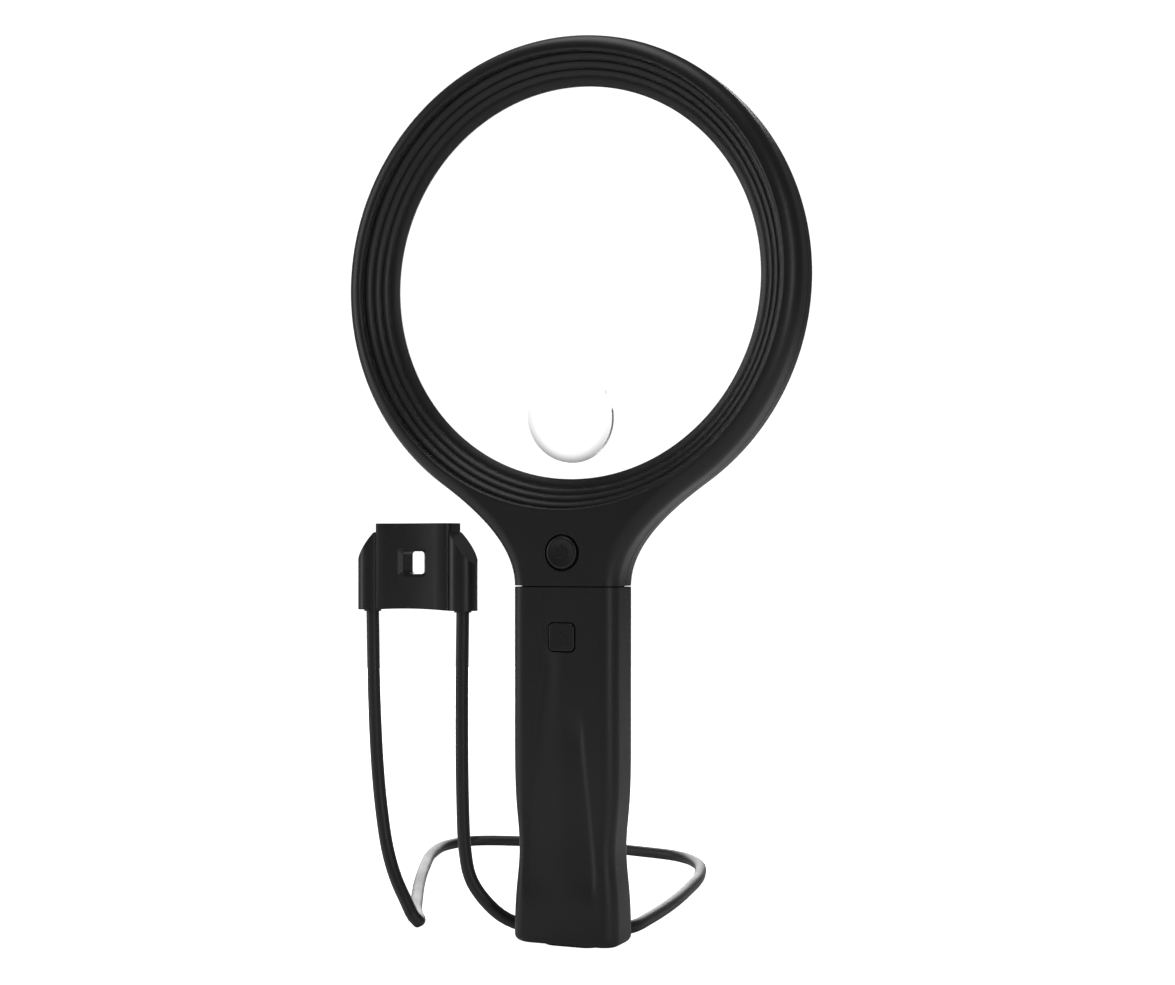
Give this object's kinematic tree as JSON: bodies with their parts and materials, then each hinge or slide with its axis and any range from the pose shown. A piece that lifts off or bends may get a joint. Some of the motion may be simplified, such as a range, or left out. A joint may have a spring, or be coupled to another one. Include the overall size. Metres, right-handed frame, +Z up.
{
  "type": "illuminated reading magnifier",
  "caption": "Large round lens in a lighted ring on a battery handle with push buttons, and a separate bendable wire stand with a slotted bracket.",
  "frame": {"origin": "centre of the handle's flat base, on the floor", "axes": "+Z up along the handle towards the lens ring, -Y out of the face with the buttons, +X to the right of that face"},
  "size_m": [0.2132, 0.2038, 0.3],
  "materials": {
    "shell_plastic": "satin black ABS",
    "sleeve_plastic": "satin black ABS",
    "button_plastic": "satin black ABS",
    "bracket_plastic": "satin black ABS",
    "inner_plastic": "matt dark grey ABS",
    "clear_acrylic": "polished",
    "frosted_acrylic": "frosted",
    "board_laminate": "solder mask",
    "led_package": "white package with phosphor",
    "steel": "bright",
    "nickel_plate": "nickel plated",
    "cell_wrap": "plain shrink film",
    "lead_insulation": "PVC",
    "wire_rubber": "smooth black"
  },
  "bodies": {
    "handle": {"handle_sleeve": "sleeve_plastic", "latch_plate": "steel", "release_spring": "steel"},
    "head": {"front_shell": "shell_plastic", "rear_shell": "shell_plastic", "main_lens": "clear_acrylic", "light_diffuser": "frosted_acrylic", "led_board": "board_laminate", "led_01": "led_package", "led_02": "led_package", "led_03": "led_package", "led_04": "led_package", "led_05": "led_package", "led_06": "led_package", "led_07": "led_package", "led_08": "led_package", "led_09": "led_package", "led_10": "led_package", "led_11": "led_package", "led_12": "led_package", "shell_screw_1": "steel", "shell_screw_2": "steel", "shell_screw_3": "steel", "shell_screw_4": "steel", "switch_body": "inner_plastic", "switch_board": "board_laminate", "battery_carrier": "inner_plastic", "aaa_cell_1": "cell_wrap", "aaa_cell_2": "cell_wrap", "aaa_cell_3": "cell_wrap", "contact_spring_1": "steel", "contact_spring_2": "steel", "contact_spring_3": "steel", "long_strap": "nickel_plate", "short_strap": "nickel_plate", "battery_lead_minus": "lead_insulation", "battery_lead_plus": "lead_insulation", "led_lead_minus": "lead_insulation", "led_lead_plus": "lead_insulation"},
    "power_button": {"power_button_cap": "button_plastic", "switch_plunger": "steel"},
    "release_button": {"release_button_cap": "button_plastic"},
    "stand": {"stand_bracket": "bracket_plastic", "loop_sheath": "wire_rubber", "loop_core": "steel", "leg_collar_left": "wire_rubber", "leg_collar_right": "wire_rubber", "wire_ferrule_left": "nickel_plate", "wire_ferrule_right": "nickel_plate"}
  },
  "joints": [
    {"name": "head_lift", "type": "slide", "parent": "handle", "child": "head", "axis": [0, 0, 1], "range_m": [0, 0.07]},
    {"name": "power_press", "type": "slide", "parent": "head", "child": "power_button", "axis": [0, 1, 0], "range_m": [0, 0.0006], "stiffness_N_per_m": 900, "springref_m": -0.0006},
    {"name": "release_press", "type": "slide", "parent": "handle", "child": "release_button", "axis": [0, 1, 0], "range_m": [0, 0.0009], "stiffness_N_per_m": 800, "springref_m": -0.0008, "deforming": ["release_spring"]},
    {"name": "stand_slide", "type": "slide", "parent": "handle", "child": "stand", "axis": [-1, 0, 0], "range_m": [0, 0.15]}
  ]
}
